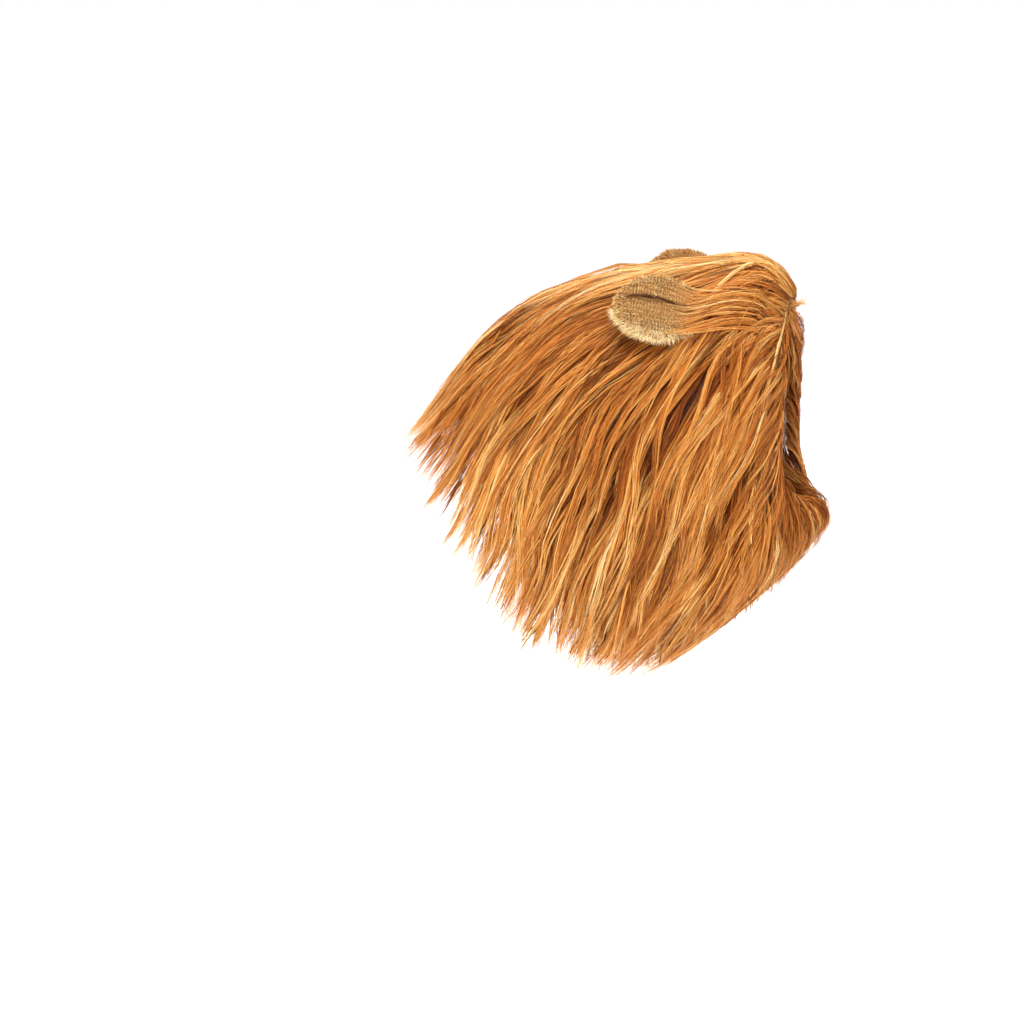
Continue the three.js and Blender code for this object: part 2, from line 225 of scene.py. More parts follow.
def fur_grid():
    """The fur's outer form on a grid of angle and flow."""
    stops = [hood_point(GRID_ANGLE, 0, HEM_THICKNESS + FUR_GAP)]
    for station, along in enumerate(STATIONS):
        stops.append(hood_point(GRID_ANGLE, along, HOOD_WALL) + fur_offset(GRID_ANGLE, station))
    points = smooth(np.array(stops), GRID_FLOW).transpose(1, 0, 2)
    x, y, z = points[..., 0], points[..., 1], points[..., 2]
    ahead = window(y, -75 * MM, -40 * MM, 30 * MM, 70 * MM)
    points[..., 2] -= FRONT_DIP * ahead * bell(x, FRONT_DIP_WIDTH) * ease(z, 0, 20 * MM)
    over = np.gradient(points, GRID_FLOW, axis=1)
    ringed = np.concatenate([points[-2:-1], points, points[1:2]])
    round_ = (ringed[2:] - ringed[:-2]) / (2 * GRID_ANGLE[1])
    normal = unit(np.cross(round_, over))
    angle, flow = np.meshgrid(GRID_ANGLE, GRID_FLOW, indexing="ij")
    inner = inside_point(angle, flow, points, normal)
    depth = np.abs(dot(points - inner, normal))[..., None]
    return np.concatenate([points, round_, over, normal, depth, inner], -1)


def inside_point(angle, flow, points, normal):
    """Inner side of the fur: on the hood as far as its neck, then a skirt out to the tips."""
    along = np.clip(flow / COAT_HOOD_SHARE, 0, 1)
    on_hood = hood_point(angle, along, hood_thickness(along) + FUR_GAP)
    share = np.clip((flow - COAT_HOOD_SHARE) / (COAT_SHARE - COAT_HOOD_SHARE), 0, 1)[..., None]
    k = int(COAT_SHARE * ALONG)
    edge = (points[:, k] - normal[:, k] * (FUR_EDGE + 10 * MM))[:, None]
    return lerp(on_hood, edge, share)


FUR = fur_grid()
CELLS = FUR[:-1, :-1]
CELL_SIZE = size_of(np.cross(FUR[..., ROUND], FUR[..., OVER]))[:-1, :-1]


def on_fur(angle, flow):
    """The fur grid's columns at any places."""
    x = np.mod(angle, 360) / 360 * AROUND
    y = np.clip(flow, 0, 1) * ALONG
    i, j = np.minimum(x.astype(int), AROUND - 1), np.minimum(y.astype(int), ALONG - 1)
    x, y = (x - i)[..., None], (y - j)[..., None]
    return lerp(lerp(FUR[i, j], FUR[i + 1, j], x), lerp(FUR[i, j + 1], FUR[i + 1, j + 1], x), y)


# Strands

PARTING = np.array((0.0, -0.07, 0.0))
BROW = 60 * MM
LEAVES = 0.62
WAVE, WAVE_SIZE = 0.2, 34 * MM
SWIRL, SWIRL_SIZE = 0.35, 32 * MM
DROOP, DROOP_REACH, DROOP_MOST = 0.5, 270 * MM, 0.55
LINE_STEPS, LAST_FLOW, UNDERSIDE = 28, 0.995, -0.25


def from_parting(points):
    return size_of(points - PARTING)


def brow_share(points):
    return np.exp(-from_parting(points) / BROW)


def comb(points, centre=PARTING):
    """Direction that the fur is combed in: away from the parting, and drooping with distance."""
    away = points - centre
    reach = size_of(away)[..., None]
    droop = np.minimum(DROOP * reach / DROOP_REACH, DROOP_MOST)
    return unit(away / np.maximum(reach, 1e-6) + DOWN * droop)


def ripple(points, size, seed):
    """Slow waves through space, about -1 to 1."""
    phases = np.random.default_rng(seed)
    total = np.zeros(points.shape[:-1])
    for _ in range(5):
        wave = phases.normal(size=points.shape[-1]) / size
        total += np.sin(points @ wave * 2 + phases.uniform(0, 2 * math.pi))
    return total / 2.5


def streaks(points, size, seed):
    """Waves that run along the combed fur, about -1 to 1."""
    away = points - PARTING
    reach = size_of(away)[..., None]
    return ripple(np.concatenate([away / np.maximum(reach, 1e-6), reach * 0.8], -1), size, seed)


def trace(angle, flow, length, depth, swerve, centre=PARTING):
    """Lines combed over the fur from start places. Gives points, normals and each line's real length."""
    count = len(angle)
    angle, flow = angle.copy(), flow.copy()
    steps = LINE_STEPS
    step = length / steps
    free = np.zeros(count, bool)
    leaves = draw(LEAVES - 0.17, LEAVES + 0.18, count)
    rim_spare, chin_spare = draw(-26, 17, count) * MM, draw(-5, 22, count) * MM
    reach = np.full(count, float(steps))
    root = np.minimum(depth[0], 1.5 * MM + 0.12 * from_parting(on_fur(angle, flow)[:, POINT]))
    lines, normals = [], []
    place, heading = None, None
    for k in range(steps + 1):
        at = on_fur(angle, flow)
        surface, normal = at[:, POINT], unit(at[:, NORMAL])
        share = k / steps
        dip = window(surface[:, 1], DIP_FROM, DIP_FROM + 30 * MM, DIP_TO - 40 * MM, DIP_TO) \
            * bell(surface[:, 0], DIP_WIDTH)
        sunk = root + (depth[1] - root) * min(share / 0.35, 1) ** 0.7 + CROWN_DIP * dip * (normal[:, 2] > 0)
        sunk = np.minimum(sunk, at[:, DEPTH] * 0.9)
        on = surface - normal * sunk[:, None]
        if place is None:
            place = on
        place = np.where(free[:, None], place, on)
        lines.append(place.copy())
        normals.append(normal)
        way = comb(surface, centre)
        bend = swerve + WAVE * ripple(surface, WAVE_SIZE, 11) * min(share * 3, 1)
        bend = bend + SWIRL * bell(from_parting(surface), SWIRL_SIZE)
        way = unit(way + np.cross(normal, way) * np.tan(bend)[:, None])
        off = dot(way, normal)
        flat = way - off[:, None] * normal
        flat = flat / size_of(flat)[:, None]
        heading = flat if heading is None else np.where(free[:, None], unit(heading + 0.12 * DOWN), flat)
        hangs = (off > leaves) & (normal[:, 2] < UNDERSIDE)
        leaving = ~free & (hangs | (flow >= LAST_FLOW))
        spare = np.where(hangs, chin_spare, rim_spare)
        heading = np.where((leaving & (flow < LAST_FLOW))[:, None], way, heading)
        reach = np.where(leaving, np.minimum(reach, k + spare / step), reach)
        free |= leaving
        across, over = at[:, ROUND], at[:, OVER]
        a, b, c = dot(across, across), dot(across, over), dot(over, over)
        p, q = dot(across, heading), dot(over, heading)
        det = a * c - b ** 2
        angle = np.where(free, angle, angle + np.clip((c * p - b * q) / det * step, -12, 12))
        flow = np.where(free, flow, np.clip(flow + (a * q - b * p) / det * step, 0, 1))
        place = np.where(free[:, None], place + heading * step[:, None], place)
    return np.array(lines).transpose(1, 0, 2), np.array(normals).transpose(1, 0, 2), reach / steps


def in_hood(points, clear):
    """Whether points are inside the hood's cloth, or within a distance of it."""
    along = shares(25)
    top, bottom, side = (hood_point(a, along, HOOD_WALL + clear) for a in (0, 180, 90))
    up, tall = unit(top - bottom), size_of(top - bottom) / 2
    axis = unit(np.cross(up, np.array((1.0, 0, 0))))
    local = points[..., None, :] - (top + bottom) / 2
    off = np.abs(dot(local, axis))
    k = off.argmin(-1)
    near = np.take_along_axis(off, k[..., None], -1)[..., 0]
    pick = np.take_along_axis(local, k[..., None, None], -2)[..., 0, :]
    height = dot(pick, up[k]) / tall[k]
    return (near < 6 * MM) & ((pick[..., 0] / side[k, 0]) ** 2 + height ** 2 < 1)


def over_fur(points):
    """Height of points over the fur's surface, less than nothing inside it."""
    coarse = FUR[::3, ::2].reshape(-1, FUR.shape[-1])
    surface, normal = coarse[:, POINT].astype(np.float32), unit(coarse[:, NORMAL]).astype(np.float32)
    flat = points.reshape(-1, 3).astype(np.float32)
    height = np.empty(len(flat))
    batch = 2000
    for i in range(0, len(flat), batch):
        part = flat[i:i + batch]
        far = (part ** 2).sum(-1)[:, None] - 2 * part @ surface.T + (surface ** 2).sum(-1)[None]
        k = far.argmin(-1)
        height[i:i + batch] = dot(part - surface[k], normal[k])
    return height.reshape(points.shape[:-1])


def pick_places(weight, count):
    """Angles and flows picked from the grid's cells by their weight."""
    pick = rng.choice(weight.size, count, p=(weight / weight.sum()).ravel())
    i, j = np.unravel_index(pick, weight.shape)
    angle = (i + draw(0, 1, count)) / AROUND * 360
    return angle, (j + draw(0, 1, count)) / ALONG


def seed_places(count):
    """Start places over the fur, thicker near the parting, where all flow starts, and past the ears."""
    at = CELLS[..., POINT]
    weight = CELL_SIZE * (1 + 5 * np.exp(-from_parting(at) / (70 * MM)))
    chin = ease(-at[..., 2], 150 * MM, 200 * MM) * ease(-at[..., 1], -20 * MM, 30 * MM)
    hand = np.where(at[..., :1] < 0, MIRROR, 1)
    past_ear = size_of(at * hand - EAR_LINE[-1] - 18 * MM * unit(EAR_REACH))
    weight = weight * (1 + 2.5 * chin + 3 * bell(past_ear, 40 * MM))
    weight[:, int(0.93 * ALONG):] = 0
    return pick_places(weight, count)


def hanging_lines(count, low, high, steps=20):
    """Lines that hang through the fur's depth to its underside, each from the hood or the fur above."""
    steep, below, cell_flow = -unit(CELLS[..., NORMAL])[..., 2], -CELLS[..., 2], GRID_FLOW[None, :-1]
    under = ease(steep, 0.05, 0.5) * ease(below, 0.14, 0.2)
    rim = 0.8 * ease(cell_flow, 0.78, 0.94)
    lowest = 1 + 3 * ease(below, 0.34, 0.39)
    angle, flow = pick_places(CELL_SIZE * np.maximum(under, rim) * lowest * (cell_flow > 0.06), count)
    at = on_fur(angle, flow)
    tip = at[:, POINT] + unit(at[:, NORMAL]) * (draw(-14, 8, count) * MM)[:, None]
    way = unit(comb(tip) + 0.5 * DOWN + vary(0.07, (count, 3)))
    length = draw(low, high, count)
    share = shares(steps)
    bow = np.sin(math.pi * share)[None, :, None] * vary(3, (count, 1, 3)) * MM
    lines = tip[:, None] - way[:, None] * (length[:, None] * (1 - share))[..., None] + bow
    centre = np.array((0.0, 0.5 * (lines[..., 1].min() + lines[..., 1].max()), -0.15))
    blocked = in_hood(lines, 3 * MM) | ((over_fur(lines) > -1.5 * MM) & (share < 0.7))
    first = np.where(blocked.any(1), steps - 1 - blocked[:, ::-1].argmax(1), -1) + 1
    start = first / (steps - 1)
    lines, start = lines[start < 0.5], start[start < 0.5]
    lines = resample(lines, start[:, None] + (1 - start)[:, None] * share)
    outward = lines - centre
    outward[..., 2] = 0
    tangent = unit(np.gradient(lines, axis=1))
    return lines, unit(outward - dot(outward, tangent)[..., None] * tangent)


def skirt_lines(count, steps=12):
    """Lines down the inside of the skirt, from the hood's neck to the tips of the fur."""
    angle = draw(0, 360, count)
    start = draw(0, 0.65, count)
    end = np.minimum(start + draw(0.4, 0.75, count), draw(0.9, 1.06, count))
    share = lerp(start[:, None], end[:, None], shares(steps))
    turn = angle[:, None] + vary(5, count)[:, None] * shares(steps)
    at = on_fur(turn, lerp(COAT_HOOD_SHARE, COAT_SHARE, share))
    normals = -unit(at[..., NORMAL])
    raised = draw(0.5, 7, count)[:, None] * np.sin(math.pi * np.clip(share, 0, 1)) ** 0.5 * MM
    return at[..., INNER] + normals * raised[..., None], normals


def resample(lines, t):
    """Points of lines (n, k, 3) at shares t (m, s) of them, line i for row i."""
    place = np.clip(t, 0, 1) * (lines.shape[1] - 1)
    k = np.minimum(place.astype(int), lines.shape[1] - 2)
    row = np.arange(len(lines))[:, None]
    return lerp(lines[row, k], lines[row, k + 1], (place - k)[..., None])


def ribbons(centre, side, out, width, tone, roll, tip_shade=0.0, bright_root=0.0):
    """Flat tapering strips with their shade and their place along the strand as texture coordinates."""
    n, k = centre.shape[:2]
    share = shares(k)
    turn = roll[:, None] + 0.6 * np.sin(3 * share + roll[:, None] * 5)
    across = np.cos(turn)[..., None] * side + np.sin(turn)[..., None] * out
    half = width[:, None] / 2 * (0.55 + 0.45 * np.sin(math.pi * np.clip(share * 1.3, 0, 1)))
    half = half * (1 - 0.85 * share ** 2.2)
    left, right = centre - across * half[..., None], centre + across * half[..., None]
    body = k - 1
    points = np.concatenate([np.stack([left[:, :body], right[:, :body]], 2).reshape(n, -1, 3),
                             centre[:, body:]], 1)
    base = (np.arange(n) * points.shape[1])[:, None, None]
    quad = np.array([(2 * i, 2 * i + 1, 2 * i + 3, 2 * i + 2) for i in range(body - 1)])
    tip = np.array((2 * body - 2, 2 * body - 1, 2 * body))
    v = lerp(0.02 + bright_root, 0.98, np.append(np.repeat(share[:body], 2), 1.0))
    u = np.append(np.tile((-0.004, 0.004), body), 0.0)
    shade = np.clip(tone[:, None] + np.reshape(tip_shade, (-1, 1)) * v ** 3, 0.02, 0.98)
    uv = np.stack([shade + u, np.broadcast_to(v, (n, len(v)))], -1)
    return points.reshape(-1, 3), (quad + base).ravel(), (tip + base[:, 0]).ravel(), uv.reshape(-1, 2)


def mirrored(part):
    """The same strips for the other hand."""
    points, quads, tips, uv = part
    return points * MIRROR, quads.reshape(-1, 4)[:, ::-1].ravel(), tips.reshape(-1, 3)[:, ::-1].ravel(), uv


def finish_mesh(mesh, material, slot):
    """The mesh as a smooth piece with its material. slot is not used."""
    mesh.polygons.foreach_set("use_smooth", np.ones(len(mesh.polygons), bool))
    mesh.materials.append(material)
    piece = add_object(mesh.name, mesh)
    return piece


def strand_mesh(name, parts, material, slot):
    """One piece of many strips."""
    shift = np.cumsum([0] + [len(part[0]) for part in parts[:-1]])
    points, uv = (np.concatenate([part[k] for part in parts]) for k in (0, 3))
    quads, tips = (np.concatenate([part[k] + s for part, s in zip(parts, shift)]) for k in (1, 2))
    loops = np.concatenate([quads, tips])
    starts = np.concatenate([np.arange(0, len(quads), 4), len(quads) + np.arange(0, len(tips), 3)])
    mesh = bpy.data.meshes.new(name)
    mesh.vertices.add(len(points))
    mesh.vertices.foreach_set("co", points.astype(np.float32).ravel())
    mesh.loops.add(len(loops))
    mesh.loops.foreach_set("vertex_index", loops.astype(np.int32))
    mesh.polygons.add(len(starts))
    mesh.polygons.foreach_set("loop_start", starts.astype(np.int32))
    layer = mesh.uv_layers.new(name="OFBake")
    layer.data.foreach_set("uv", uv[loops].astype(np.float32).ravel())
    mesh.update()
    return finish_mesh(mesh, material, slot)


RIM_TIP, PLAIN_TIP = 0.3, 0.02
BUNCH = 5
STRAY_ON_TOP, STRAY_BELOW, STRAY_LIFT = 0.12, 0.05, 3.5 * MM
LOWEST, REARMOST, SOFT_STOP = -424 * MM, 392 * MM, 12 * MM


def soft_stop(past):
    """How far a place that is past its limit comes back."""
    past = np.maximum(past + SOFT_STOP, 0)
    return past - SOFT_STOP * (1 - np.exp(-past / SOFT_STOP))


def locks(lines, normals, reach, tone, each, radius, width, tucked, points=7, dark=0.18, bright_root=0.0):
    """Strips gathered in locks: each line carries bunches of strands that close up towards its end."""
    count = len(lines)
    reach, radius, tucked, dark = (np.broadcast_to(v, count) for v in (reach, radius, tucked, dark))
    row = np.repeat(np.arange(count), each)
    n = len(row)
    bunches = max(each // BUNCH, 1)
    bunch = row * bunches + np.tile(np.arange(each) % bunches, count)
    total = count * bunches
    turn, far = draw(0, 2 * math.pi, total), np.sqrt(draw(0, 1, total))
    bunch_at = np.stack([np.cos(turn) * far, np.sin(turn) * far * 0.45], -1)
    bunch_wave = draw(0, 2 * math.pi, total)
    bunch_pace = draw(0.7, 1.5, total)
    turn, far = draw(0, 2 * math.pi, n), np.sqrt(draw(0, 1, n))
    own_at = np.stack([np.cos(turn) * far, np.sin(turn) * far * 0.5], -1) * 0.36
    start = draw(0, 0.12, n)
    end = reach[row] * (1.04 - 0.42 * draw(0, 1, n) ** 2)
    t = start[:, None] + (end - start)[:, None] * shares(points)
    fine = resample(lines[row], t)
    out = unit(resample(normals[row], t))
    side = unit(np.cross(unit(np.gradient(fine, axis=1)), out))
    size = radius[row][:, None]
    wide = size * lerp(1.0, 0.5, t ** 1.3)
    near = size * lerp(1.0, 0.4, t ** 0.8)
    swing = 0.28 * np.sin(bunch_wave[bunch][:, None] + t * 7 * bunch_pace[bunch][:, None]) * t
    frizz = 0.1 * np.sin(draw(0, 6.3, n)[:, None] + t * draw(8, 20, n)[:, None])
    x, y = (bunch_at[bunch, k][:, None] * wide + own_at[:, k][:, None] * near for k in (0, 1))
    x = x + (swing + frizz) * size
    y = y + frizz[:, ::-1] * size * 0.5
    loose = np.where(normals[row, 0, 2] > 0.5, STRAY_ON_TOP, STRAY_BELOW)
    stray = (draw(0, 1, n) < loose) * draw(1, 3, n) * STRAY_LIFT
    y = y + stray[:, None] * t ** 2
    centre = fine + side * x[..., None] + out * y[..., None]
    centre[..., 2] += soft_stop(LOWEST - centre[..., 2])
    centre[..., 1] -= soft_stop(centre[..., 1] - REARMOST)
    tips = np.where(reach[row] < 0.98, RIM_TIP, PLAIN_TIP)
    clear = draw(1.5, 5, n)[:, None] * MM
    centre = np.where(tucked[row][:, None, None], pass_under_ears(centre, clear), centre)
    own = vary(0.12, total) - 0.24 * (draw(0, 1, total) < np.repeat(dark, bunches))
    shade = tone[row] + own[bunch] + vary(0.13, n)
    roll = draw(-0.9, 0.9, n)
    return ribbons(centre, side, out, width * draw(0.75, 1.25, n), shade, roll, tips, bright_root)


# Ears


def centripetal(points, count=401):
    """Centripetal curve through points, as places at even lengths along it."""
    points = np.array([2 * points[0] - points[1], *points, 2 * points[-1] - points[-2]])
    gaps = np.sqrt(size_of(np.diff(points, axis=0)))
    t = shares(80)[:, None]
    runs = []
    for i in range(1, len(points) - 2):
        x0, x1, x2, x3 = points[i - 1:i + 3]
        d0, d1, d2 = gaps[i - 1:i + 2]
        m1 = ((x1 - x0) / d0 - (x2 - x0) / (d0 + d1) + (x2 - x1) / d1) * d1
        m2 = ((x2 - x1) / d1 - (x3 - x1) / (d1 + d2) + (x3 - x2) / d2) * d1
        c2, c3 = -3 * x1 + 3 * x2 - 2 * m1 - m2, 2 * x1 - 2 * x2 + m1 + m2
        runs.append(x1 + m1 * t + c2 * t ** 2 + c3 * t ** 3)
    line = np.concatenate(runs)
    far = length_along(line)
    return at_lengths(line, far, np.linspace(0, far[-1], count))


def length_along(line):
    return np.concatenate([[0], np.cumsum(size_of(np.diff(line, axis=0)))])


def at_lengths(line, far, lengths):
    return np.stack([np.interp(lengths, far, line[:, i]) for i in range(3)], -1)


def flow_over(along):
    """Flow of the fur that lies over a place along the hood."""
    k = max(int(np.searchsorted(STATIONS, along)), 1)
    a, b = STATIONS[k - 1], STATIONS[k]
    return (k + (along - a) / (b - a)) / len(STATIONS)


def ear_frame():
    """The left ear's base, and its centre line and directions at even steps from the hood to its far end."""
    angle, along = EAR_SPOT
    foot = hood_point(angle, along, 0)
    at = on_fur(np.array([float(angle)]), np.array([flow_over(along)]))[0]
    reach, out = unit(EAR_REACH), unit(at[NORMAL])
    base = at[POINT] - out * EAR_LIFT
    middle = base + reach * EAR_LENGTH / 2 + out * EAR_LIFT
    end = base + reach * EAR_LENGTH + out * EAR_LIFT
    line = centripetal(np.array([foot, base, middle, end]))
    tangent = unit(np.gradient(line, axis=0))
    upright = unit(EAR_UPRIGHT)
    across = unit(upright - (tangent @ upright)[:, None] * tangent)
    return base, line, across, unit(np.cross(tangent, across))


EAR_BASE, EAR_LINE, EAR_ACROSS, EAR_OUT = ear_frame()


def ear_column(k, along):
    return np.interp(along, EAR_ROWS[:, 0], EAR_ROWS[:, k])


def half_width(along):
    return ear_column(BACK, along) * EAR_WIDTH / 2


def face_share(along):
    return ear_column(FACE, along) / ear_column(BACK, along)


def ear_at(rows, along):
    place = np.clip(along, 0, 1) * (len(rows) - 1)
    i = np.minimum(place.astype(int), len(rows) - 2)
    return lerp(rows[i], rows[i + 1], (place - i)[..., None])


def ear_surface(along, x, front, lift):
    """Points of the left ear: x from -1 to 1 across it, on its front or its back."""
    body = ear_column(THICK, along) * EAR_THICKNESS / 2 * np.sqrt(np.maximum(1 - x ** 2, 0))
    height = ear_column(CUP, along) * EAR_CUP * x ** 2 + np.where(front, body, -body) + lift
    return ear_at(EAR_LINE, along) + ear_at(EAR_ACROSS, along) * (x * half_width(along))[..., None] \
        + ear_at(EAR_OUT, along) * height[..., None]


# Places of the crease, along and across the ear, and the size of the roll above it and of the crease
CREASE = np.array(((0.36, 0.16), (0.6, 0.34), (0.86, 0.42)))
LOBE, LOBE_REACH, VALLEY, VALLEY_WIDTH = 5.5 * MM, 15 * MM, 3.0 * MM, 2.6 * MM
# Count, length, width, shade, spread and specks of the fibres on the ear's edge and on its face
EDGE_FIBRES = (7000, 7.0 * MM, 0.8 * MM, 0.42, 0.34, 0.22)
FACE_FIBRES = (6500, 2.8 * MM, 0.8 * MM, 0.78, 0.4, 1.1)
EAR_MIDDLE, LEAF_ALONG, LEAF_AROUND, LEAF_FROM = 0.62, 52, 48, 0.1


def crease_far(along, x):
    """How far above the ear's crease a place lies, in metres."""
    return (x - np.interp(along, *CREASE.T)) * ear_column(BACK, along) * EAR_WIDTH / 2


def crease_lift(along, x):
    """The upper part of the ear rolls over the crease, and the crease itself is drawn in."""
    far = crease_far(along, x)
    rolled = LOBE * ease(far, -1 * MM, 1.5 * MM) * np.exp(-np.maximum(far, 0) / LOBE_REACH)
    drawn = VALLEY * bell(far + 0.5 * MM, VALLEY_WIDTH)
    return (rolled - drawn) * window(along, 0.34, 0.5, 0.8, 0.92)


def ear_fibres(places, count, length, width, shade, spread, speck):
    """Short fibres on the left ear. places gives along, x and whether on the front, for each fibre."""
    along, x, front = places(count)
    step = 0.01
    pad = EAR_FACE_PROUD * (np.abs(x) < face_share(along))

    def surface(along, x):
        return ear_surface(along, x, front, np.where(front, crease_lift(along, x) + pad, 0))

    root = surface(along, x)
    over = surface(along + step, x) - root
    across = surface(along, np.where(x > 0, x - step, x + step)) - root
    across = across * np.where(x > 0, -1, 1)[:, None]
    normal = unit(np.cross(over, across)) * np.where(front, 1, -1)[:, None]
    outward = unit(root - ear_at(EAR_LINE, np.full(count, EAR_MIDDLE)))
    edge = np.maximum(np.abs(x) ** 3, ease(along, 0.8, 1.0))[:, None]
    loose = vary(spread, (count, 3))
    way = unit(normal * (1 - 0.5 * edge) + outward * (0.35 + 0.9 * edge) + DOWN * 0.25 + loose)
    low_side = ease(-x, 0.1, 0.8)
    # Crease band: its fibres are shorter, and they are painted dark as a painted shadow in the crease
    crease = bell(crease_far(along, x) + 0.4 * MM, 2.1 * MM, 4) * ease(along, 0.36, 0.45)
    crease = crease * (along < 0.9) * front
    long = length * draw(0.6, 1.25, count) * lerp(0.5, 1.0, low_side) * (1 - 0.85 * crease)
    t = shares(3)[None, :, None]
    bend = unit(outward + DOWN * 0.8 + loose)
    centre = root[:, None] - normal[:, None] * 0.4 * MM + way[:, None] * t * long[:, None, None] \
        + bend[:, None] * t ** 2 * long[:, None, None] * 0.25
    side = unit(np.cross(way, normal) + 1e-6)
    side, out = (np.repeat(v[:, None], 3, 1) for v in (side, normal))
    tone = shade + speck * ripple(root, 1.6 * MM, 5) + 0.07 * ripple(root, 7 * MM, 6) + vary(0.2, count)
    # Painted highlight: the front rim on the ear's low side is painted paler, where the light catches that
    # edge
    rim = low_side * ease(np.abs(x) + vary(0.07, count), 0.5, 0.85) * front
    golden = front & (np.abs(x) * ear_column(BACK, along) > ear_column(FACE, along) * 1.05) & (x > -0.5)
    tone = tone + 0.44 * rim + 0.1 * golden - 1.2 * crease
    return centre, side, out, width * draw(0.8, 1.2, count), tone, draw(-1.2, 1.2, count)


def crease_shadow_fibres(count=120):
    """Dark fibres drawn into the ear's crease, as a painted shadow along it."""
    first = CREASE[0][0]
    start = draw(first, 0.86, count)
    along = start[:, None] + np.linspace(0, 0.07, 4)
    x = np.interp(along, *CREASE.T) - rng.normal(0.4, 0.5, count)[:, None] * MM / (EAR_WIDTH / 2)
    lift = crease_lift(along, x) + EAR_FACE_PROUD + draw(2.0, 3.6, count)[:, None] * MM
    centre = ear_surface(along, x, True, lift)
    out = ear_at(EAR_OUT, along)
    side = unit(np.cross(unit(np.gradient(centre, axis=1)), out))
    width = 1.2 * MM * np.sin(math.pi * (start - first) / (0.95 - first)) ** 0.5
    return centre, side, out, width, draw(0.02, 0.1, count), draw(-0.3, 0.3, count)


def ear_leaf_mesh(name, columns, slot, material, back):
    """Cloth of the left ear under its fibres: the whole leaf, or the pad on its front."""
    along = np.linspace(*columns, LEAF_ALONG)
    turn = np.linspace(0, 2 * math.pi, LEAF_AROUND + 1)[:-1]
    along, turn = np.meshgrid(along, turn, indexing="ij")
    x = np.cos(turn)
    front = np.sin(turn) >= 0
    if back:
        points = ear_surface(along, x, front, np.where(front, crease_lift(along, x), 0))
    else:
        x = x * face_share(along)
        raised = np.where(front, EAR_FACE_PROUD, -1.2 * MM) * np.abs(np.sin(turn)) ** 0.5
        lift = crease_lift(along, x) + raised
        points = ear_surface(along, x, True, lift)
    first, last = (points[k].mean(0, keepdims=True).repeat(LEAF_AROUND, 0)[None] for k in (0, -1))
    return grid_mesh(name, np.concatenate([first, points, last]), material, slot, close_u=False)


def on_ear_edge(count):
    """Places on the ear's back and all along its edge."""
    along = np.sqrt(draw(0.3 ** 2, 1, count))
    x = draw(-1, 1, count)
    front = draw(0, 1, count) < 0.55
    inner = np.where(x > 0, 0.8, 0.6)
    rim = np.sign(x) * lerp(inner, 1, draw(0, 1, count) ** 0.7)
    past_pad = (along < EAR_FACE_FROM + 0.06) | (along > EAR_FACE_TO - 0.08)
    return along, np.where(front & ~past_pad, rim, x), front


def on_ear_face(count):
    """Places on the pad of the ear's front, wider on its upper side."""
    along = draw(EAR_FACE_FROM - 0.04, EAR_FACE_TO + 0.01, count)
    share = face_share(along)
    keep = ear_column(FACE, along) / 0.8
    along = np.where(draw(0, 1, count) < keep, along, draw(0.5, 0.85, count))
    upper = np.minimum(share * 1.25, 0.95)
    x = draw(-1.04, 1.04, count)
    return along, np.where(x > 0, x * upper, x * share), np.ones(count, bool)


def make_ears(plush, pile, cloth):
    pieces = []
    edge = ribbons(*ear_fibres(on_ear_edge, *EDGE_FIBRES))
    face = ribbons(*ear_fibres(on_ear_face, *FACE_FIBRES))
    crease_shadow = ribbons(*crease_shadow_fibres())
    for hand, turned in (("left", False), ("right", True)):
        for part, strips, material, slot, node, columns in (
                ("plush", [edge], plush, "ear_plush", "back", (LEAF_FROM, 1.0)),
                ("pile", [face, crease_shadow], pile, "ear_pile", "face", (EAR_FACE_FROM, EAR_FACE_TO))):
            strips = [mirrored(strip) for strip in strips] if turned else strips
            fibres = strand_mesh(f"ear_{hand}_{part}", strips, material, slot)
            leaf = ear_leaf_mesh(f"ear_{hand}_{part}_cloth", columns, slot, cloth, node == "back")
            if turned:
                leaf.data.transform(Matrix.Scale(-1, 4, (1, 0, 0)))
                leaf.data.flip_normals()
            for piece in (fibres, leaf):
                if not turned:
                    piece.data.transform(Matrix.Translation(LEFT_EAR_RISE))
                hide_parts(f"ear_{hand}_{node}")
                pieces.append(piece)
    return pieces


EAR_WAY = unit(EAR_REACH)
EAR_UP = unit(EAR_UPRIGHT - (EAR_UPRIGHT @ EAR_WAY) * EAR_WAY)
EAR_FRONT = np.cross(EAR_WAY, EAR_UP)


def by_ear(points, flip, left):
    """How far points lie along an ear, across it and in front of it."""
    local = points * flip - EAR_BASE - LEFT_EAR_RISE * left
    return local @ EAR_WAY, local @ EAR_UP, local @ EAR_FRONT


def pass_under_ears(points, clear):
    """Points of strands are pressed down where an ear lies over them."""
    foot = np.linalg.norm(EAR_BASE - EAR_LINE[0])
    for sign in (1, -1):
        flip = np.array((sign, 1, 1))
        far, x, height = by_ear(points, flip, sign > 0)
        along = np.clip((far + foot) / (foot + EAR_LENGTH), 0, 1)
        half = half_width(along)
        inside = (1 - ease(np.abs(x), half + 1 * MM, half + 9 * MM)) * ease(far, -2 * MM, 16 * MM) \
            * (1 - ease(far, EAR_LENGTH + 1 * MM, EAR_LENGTH + 12 * MM))
        share = np.clip(np.abs(x) / half, 0, 1.2)
        under = EAR_LIFT * ease(far, 0, 40 * MM) + ear_column(CUP, along) * EAR_CUP * share ** 2
        body = ear_column(THICK, along) * EAR_THICKNESS / 2 * np.sqrt(np.clip(1 - share ** 2, 0, 1))
        under = np.minimum(under - body - clear, 2 * MM - clear)
        push = np.maximum(height - under, 0) * inside
        push = np.where(np.abs(height) < 45 * MM, push, 0)
        points = points - (EAR_FRONT * flip) * push[..., None]
    return points


